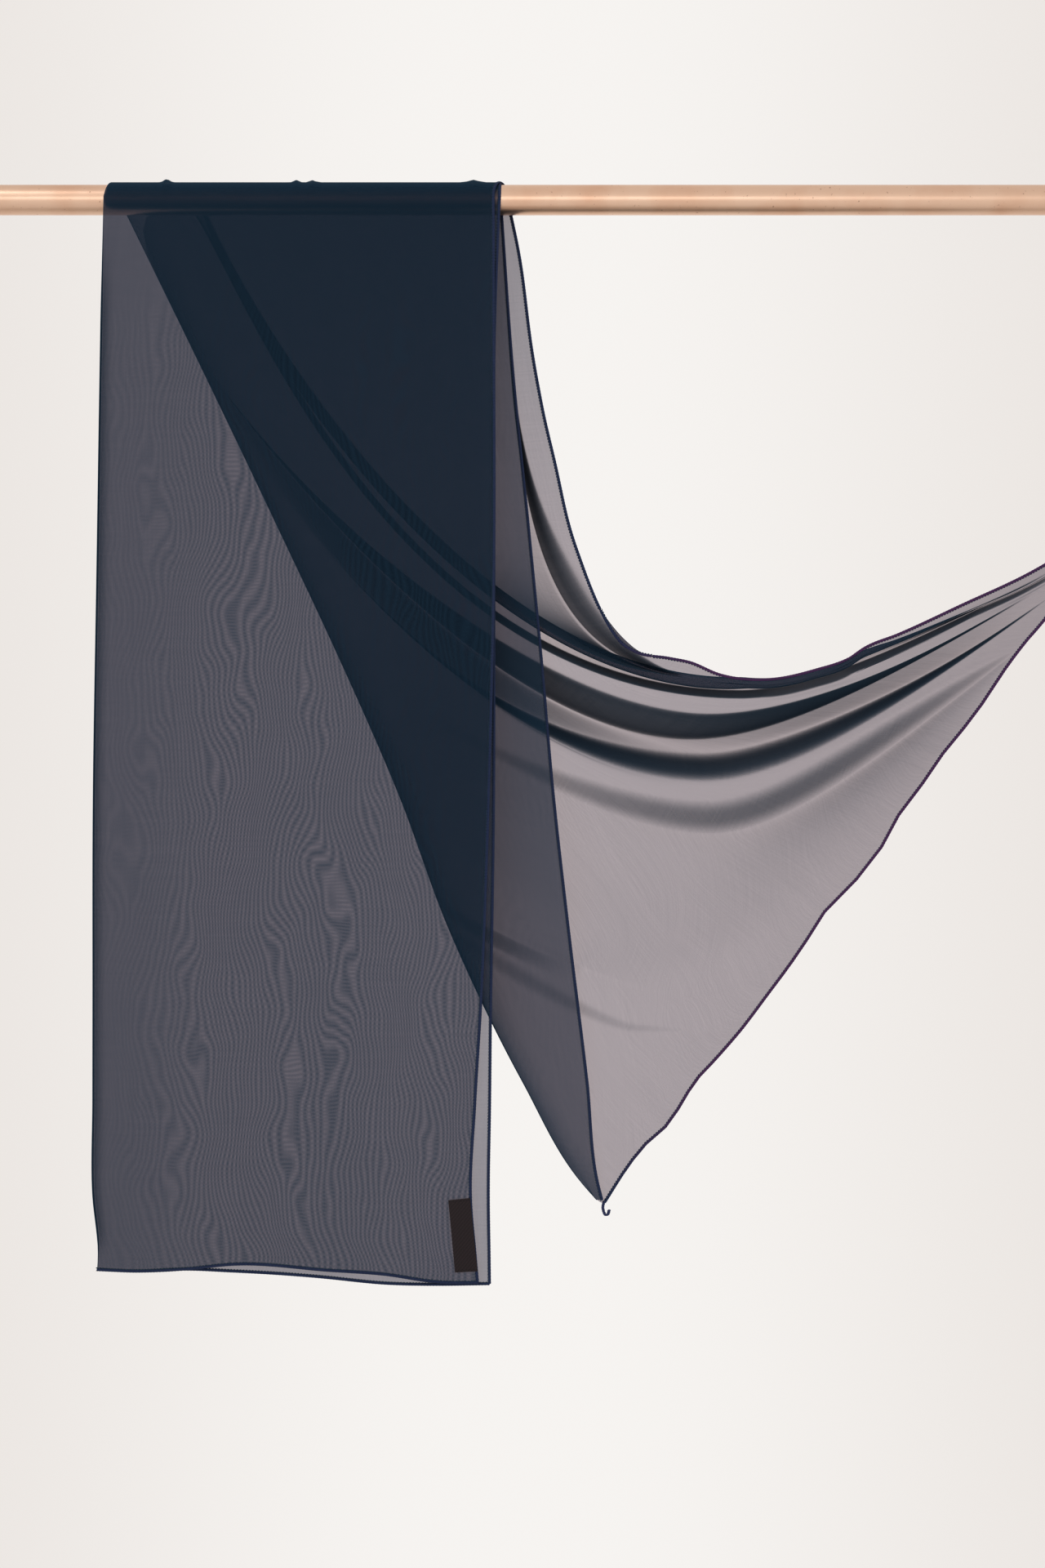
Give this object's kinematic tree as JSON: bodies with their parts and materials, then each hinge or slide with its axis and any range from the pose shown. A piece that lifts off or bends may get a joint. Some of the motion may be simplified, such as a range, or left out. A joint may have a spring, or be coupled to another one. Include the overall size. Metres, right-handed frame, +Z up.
{
  "type": "chiffon scarf on a hanging rod",
  "caption": "Long sheer chiffon scarf folded lengthwise over a round rod, its front leg straight and its back ply drawn out to a corner in a draped swag with sunk folds.",
  "frame": {"origin": "on the rod's axis at the middle of its length, where the rod is held", "axes": "+X along the rod to the right, +Y away from the front, +Z up"},
  "size_m": [1.2, 0.1056, 1.0429],
  "materials": {
    "chiffon": "sheer plain-woven navy chiffon, crepe yarns, faint sheen",
    "hem": "narrow rolled hem, overlocked in navy thread",
    "label": "black-brown woven satin ribbon, bare",
    "rod": "satin copper plating on steel tube"
  },
  "bodies": {
    "root": {"front_leg": "chiffon", "over_rod": "chiffon", "back_flap": "chiffon", "back_swag": "chiffon", "hem_front_near_long": "hem", "hem_front_near_short": "hem", "hem_front_far_long": "hem", "hem_front_far_short": "hem", "hem_top_near": "hem", "hem_top_far": "hem", "hem_flap_long": "hem", "hem_swag_long": "hem", "hem_swag_short": "hem", "thread_tail": "hem", "label": "label", "rod": "rod"}
  },
  "joints": []
}
